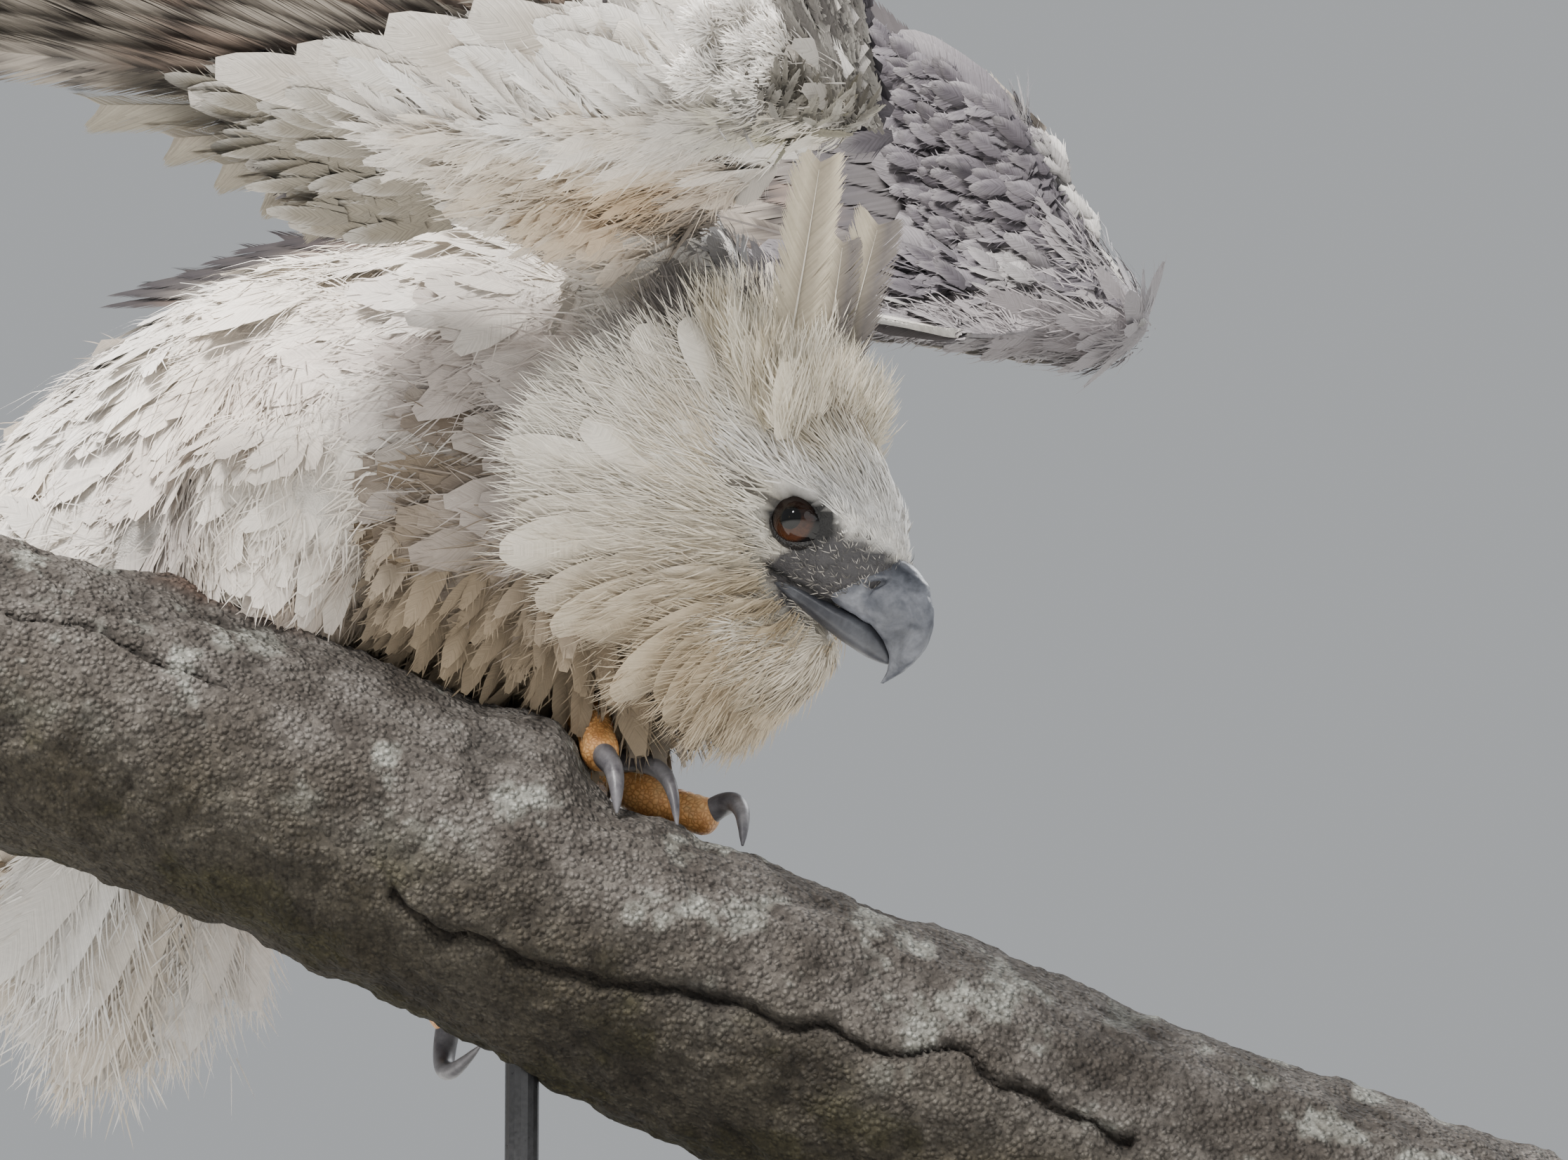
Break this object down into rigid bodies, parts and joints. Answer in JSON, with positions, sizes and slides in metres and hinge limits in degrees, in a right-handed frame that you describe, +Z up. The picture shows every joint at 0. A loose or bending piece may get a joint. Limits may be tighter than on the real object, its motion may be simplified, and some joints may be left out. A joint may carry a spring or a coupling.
{
  "type": "harpy eagle",
  "caption": "Life-size still harpy eagle in immature plumage, leaning forward with half-open wings on a short length of branch held by a flat display stand.",
  "frame": {"origin": "centre of the underside of the display base", "axes": "+Z up, +X the way the bird faces along the branch, -Y the side of the picture's camera"},
  "size_m": [1.1156, 0.8125, 1.1003],
  "materials": {
    "body_plumage": "soft white body feathers, beige in the shade",
    "head_plumage": "cream hair-like feathers with grey crest",
    "wing_plumage": "grey scalloped coverts, pale underside, barred flight feathers",
    "tail_plumage": "grey barred tail feathers",
    "horn": "slate-grey horn of bill and claws, satin",
    "eye": "brown iris under a clear wet cornea",
    "foot_skin": "ochre scaled skin",
    "bark": "grey rough bark with moss and fissures",
    "stand_board": "matt dark paint over a board base",
    "stand_rod_steel": "satin dark paint over steel rod"
  },
  "bodies": {
    "root": {"bill_lower": "horn", "bill_upper": "horn", "claw_left_hind": "horn", "claw_left_inner": "horn", "claw_left_middle": "horn", "claw_left_outer": "horn", "claw_right_hind": "horn", "claw_right_inner": "horn", "claw_right_middle": "horn", "claw_right_outer": "horn", "eye_left": "eye", "eye_right": "eye", "foot_left": "foot_skin", "foot_right": "foot_skin", "head": "head_plumage", "neck": "body_plumage", "perch_branch": "bark", "stand_base": "stand_board", "stand_rod_1": "stand_rod_steel", "stand_rod_2": "stand_rod_steel", "tail": "tail_plumage", "tarsus_left": "foot_skin", "tarsus_right": "foot_skin", "thigh_left": "body_plumage", "thigh_right": "body_plumage", "torso": "body_plumage", "wing_left": "wing_plumage", "wing_right": "wing_plumage"}
  },
  "joints": []
}
